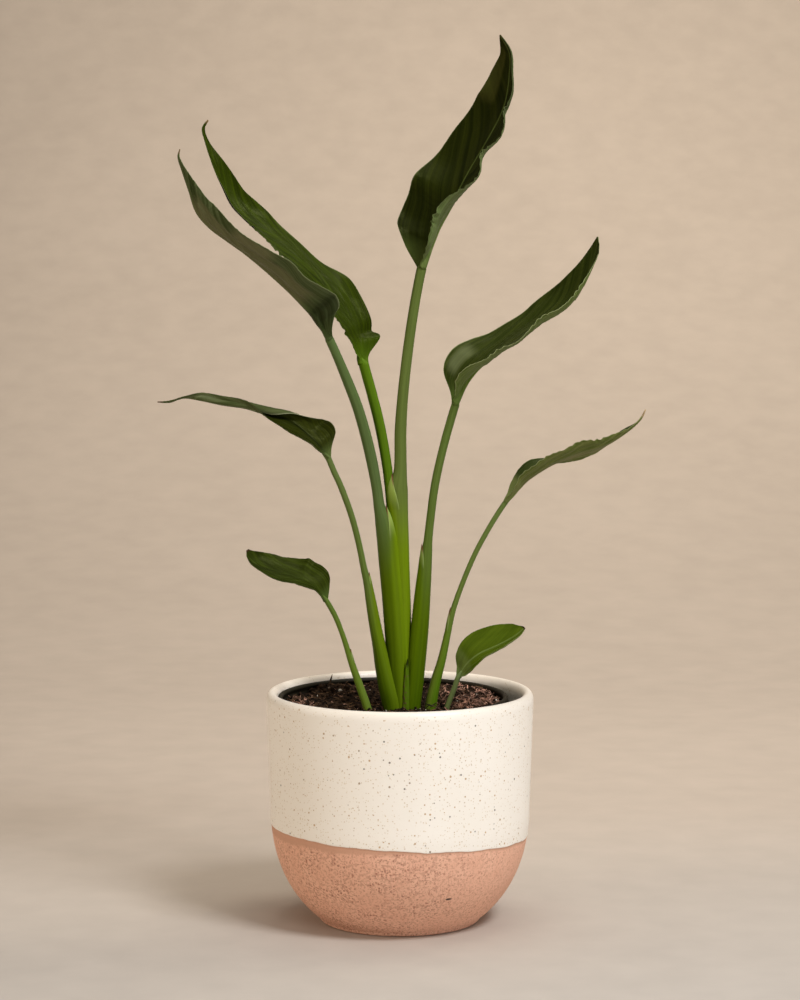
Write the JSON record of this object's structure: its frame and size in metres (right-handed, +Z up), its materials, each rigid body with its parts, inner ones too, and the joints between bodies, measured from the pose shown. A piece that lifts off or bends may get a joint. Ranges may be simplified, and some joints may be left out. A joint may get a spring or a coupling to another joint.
{
  "type": "potted bird of paradise",
  "caption": "Young bird of paradise plant with paddle-shaped leaves on long stalks, growing from soil in a nursery pot that stands inside a half-glazed round stoneware pot.",
  "frame": {"origin": "middle of the flat foot of the stoneware pot, on the surface that the pot stands on", "axes": "+Z up, from the pot's foot to the highest leaf; -Y is the side that the picture shows, and +X is to the right seen from there"},
  "size_m": [0.3569, 0.196, 0.6498],
  "materials": {
    "glazed_stoneware": "satin",
    "grey_plastic": "satin",
    "potting_mix": "matte",
    "leaf_blade": "satin",
    "leaf_stalk": "satin",
    "dry_bract": "matte"
  },
  "bodies": {
    "root": {"ceramic_pot": "glazed_stoneware", "nursery_pot": "grey_plastic", "soil": "potting_mix", "dry_bract": "dry_bract", "leaf_1_stalk": "leaf_stalk", "leaf_2_stalk": "leaf_stalk", "leaf_3_stalk": "leaf_stalk", "leaf_4_stalk": "leaf_stalk", "leaf_5_stalk": "leaf_stalk", "leaf_6_stalk": "leaf_stalk", "leaf_7_stalk": "leaf_stalk", "leaf_8_stalk": "leaf_stalk", "leaf_1_blade": "leaf_blade", "leaf_2_blade": "leaf_blade", "leaf_3_blade": "leaf_blade", "leaf_4_blade": "leaf_blade", "leaf_5_blade": "leaf_blade", "leaf_6_blade": "leaf_blade", "leaf_7_blade": "leaf_blade", "leaf_8_blade": "leaf_blade"}
  },
  "joints": []
}
